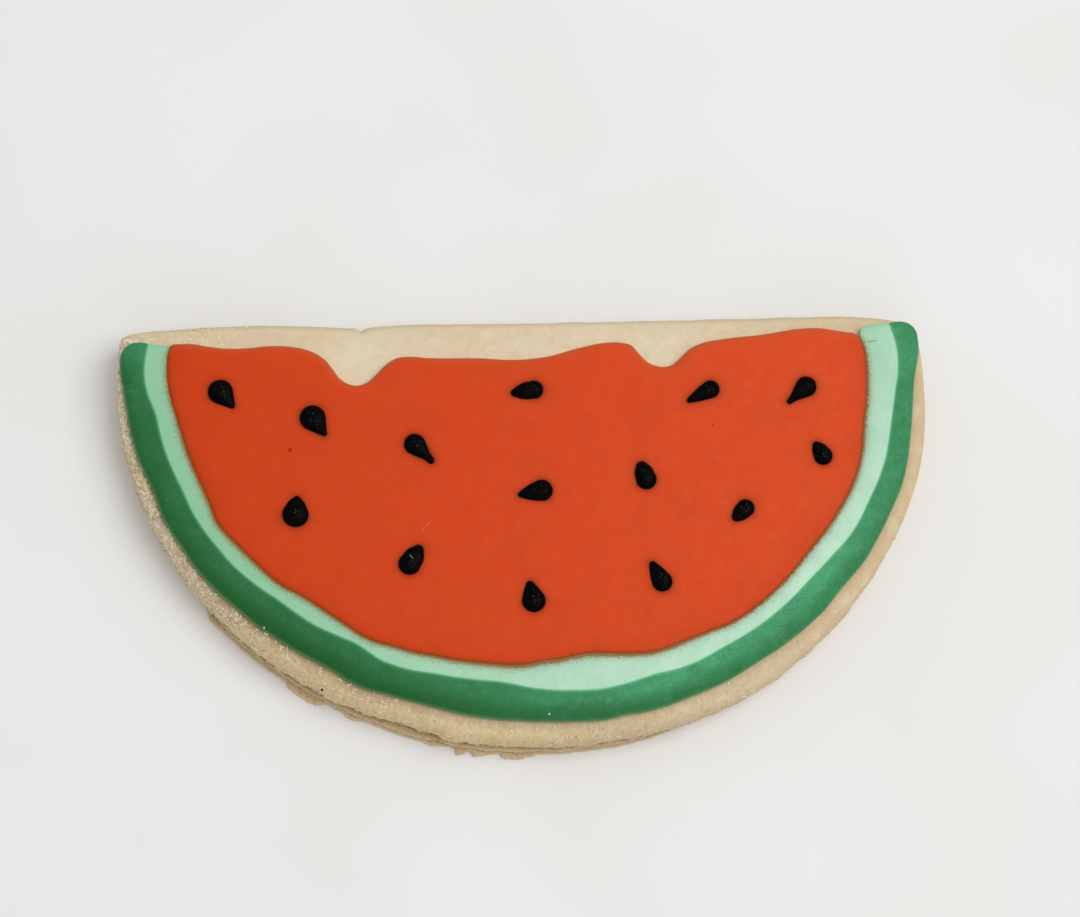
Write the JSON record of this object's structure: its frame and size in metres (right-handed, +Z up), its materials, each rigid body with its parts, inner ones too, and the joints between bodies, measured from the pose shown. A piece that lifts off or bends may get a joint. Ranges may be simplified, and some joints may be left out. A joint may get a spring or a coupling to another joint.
{
  "type": "iced sugar cookie",
  "caption": "Half-moon sugar biscuit iced as a slice of watermelon: red flood icing with black piped seeds inside a pale green line and a dark green line.",
  "frame": {"origin": "bottom centre of the cookie's bounding box, on its flat underside", "axes": "+X along the straight back edge towards the right-hand corner as it is seen from the iced side, +Y towards the straight back edge, +Z up out of the icing"},
  "size_m": [0.1018, 0.055, 0.0082],
  "materials": {
    "baked_dough": "pale matte baked sugar dough, slightly grainy at the left edge",
    "red_icing": "satin orange-red royal icing, with satin black piped seeds",
    "pale_green_icing": "satin pale green royal icing",
    "dark_green_icing": "satin dark green royal icing"
  },
  "bodies": {
    "root": {"biscuit": "baked_dough", "red_icing": "red_icing", "pale_green_icing": "pale_green_icing", "dark_green_icing": "dark_green_icing"}
  },
  "joints": []
}
